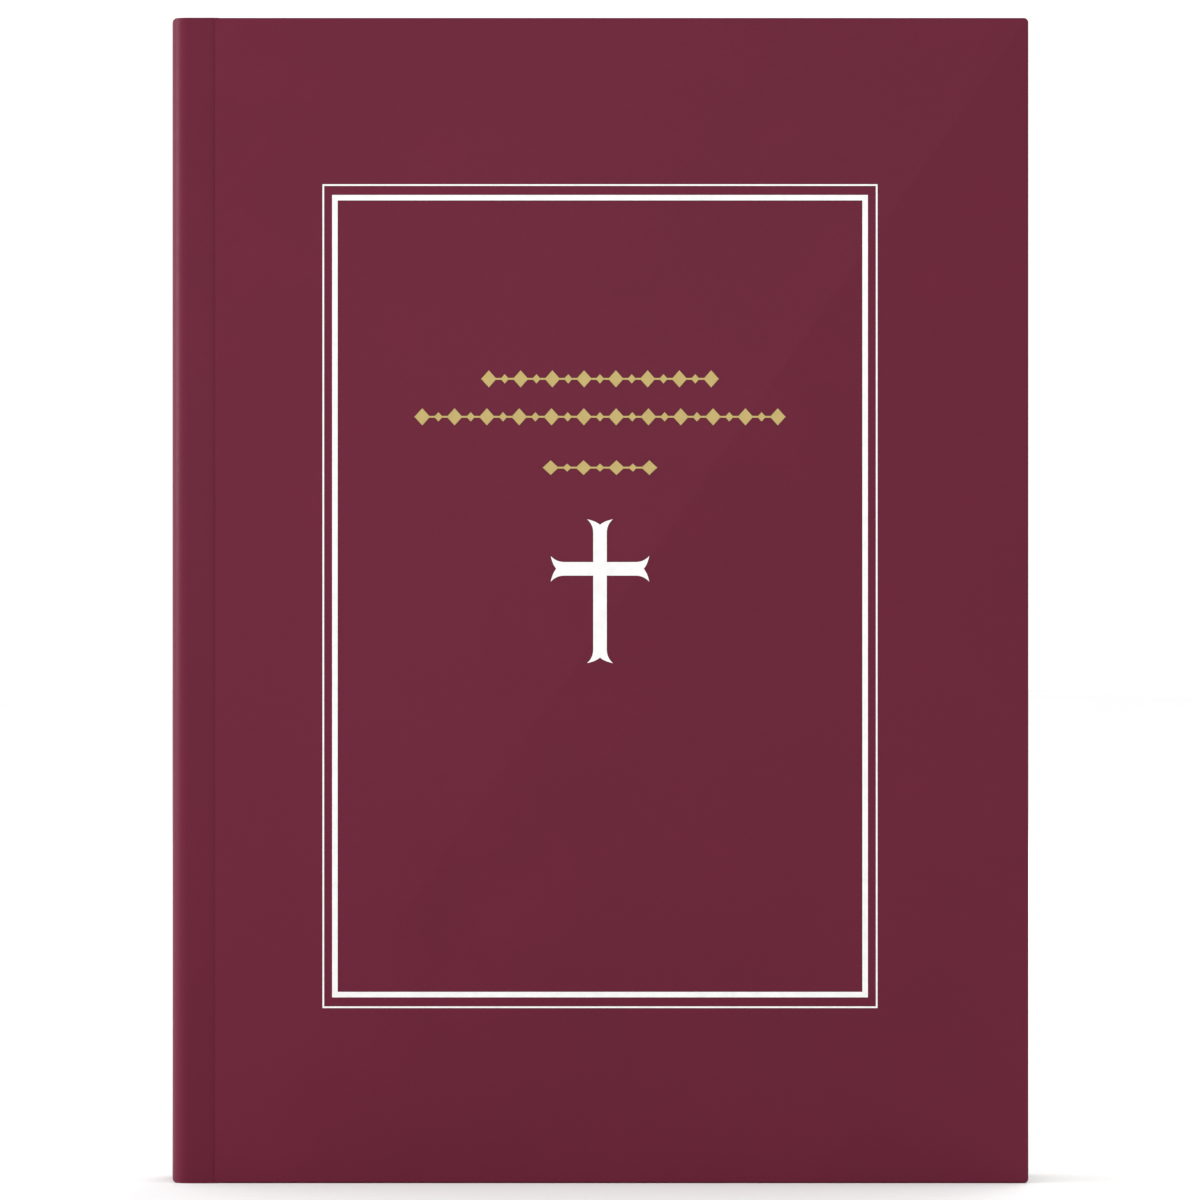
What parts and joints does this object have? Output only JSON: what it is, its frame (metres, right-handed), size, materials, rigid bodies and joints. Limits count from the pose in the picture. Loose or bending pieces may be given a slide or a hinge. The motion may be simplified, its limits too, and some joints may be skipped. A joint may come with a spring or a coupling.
{
  "type": "prayer book",
  "caption": "Closed hardcover prayer book in burgundy leatherette, stamped with a double white frame, a cross and gold ornament, with covers and leaves that open.",
  "frame": {"origin": "centre of the closed book's tail edge, on the surface it stands on", "axes": "+X from the spine to the fore edge, -Y out of the front cover, +Z from tail to head"},
  "size_m": [0.14, 0.0181, 0.1904],
  "materials": {
    "leatherette": "matte",
    "board": "matte",
    "endpaper": "matte",
    "page": "matte",
    "lining": "matte",
    "band": "satin",
    "white_foil": "satin",
    "gold_foil": "satin"
  },
  "bodies": {
    "front_cover": {"front_cover_leather": "leatherette", "front_cover_board": "board", "front_cover_pastedown": "endpaper", "outer_frame_line": "white_foil", "inner_frame_line": "white_foil", "cross_stamp": "white_foil", "upper_gold_ornament": "gold_foil", "middle_gold_ornament": "gold_foil", "lower_gold_ornament": "gold_foil"},
    "front_block": {"front_flyleaf": "endpaper", "front_middle_section": "page", "front_section_1": "page", "front_section_2": "page", "front_section_3": "page", "front_section_4": "page", "front_section_5": "page", "front_spine_leather": "leatherette", "front_spine_lining": "lining", "front_head_band": "band", "front_tail_band": "band"},
    "back_cover": {"back_cover_leather": "leatherette", "back_cover_board": "board", "back_cover_pastedown": "endpaper"},
    "back_block": {"back_flyleaf": "endpaper", "back_middle_section": "page", "back_section_1": "page", "back_section_2": "page", "back_section_3": "page", "back_section_4": "page", "back_section_5": "page", "back_spine_leather": "leatherette", "back_spine_lining": "lining", "back_head_band": "band", "back_tail_band": "band"}
  },
  "joints": [
    {"name": "centre_opening", "type": "hinge", "parent": "back_block", "child": "front_block", "pos_m": [-0.0701, 0, 0.0952], "axis": [0, 0, -1], "range_deg": [0, 179]},
    {"name": "front_cover_hinge", "type": "hinge", "parent": "front_block", "child": "front_cover", "pos_m": [-0.0631, -0.00908, 0.0952], "axis": [0, 0, 1], "range_deg": [-179, 0]},
    {"name": "back_cover_hinge", "type": "hinge", "parent": "back_block", "child": "back_cover", "pos_m": [-0.0631, 0.01078, 0.0952], "axis": [0, 0, -1], "range_deg": [-179, 0]}
  ]
}
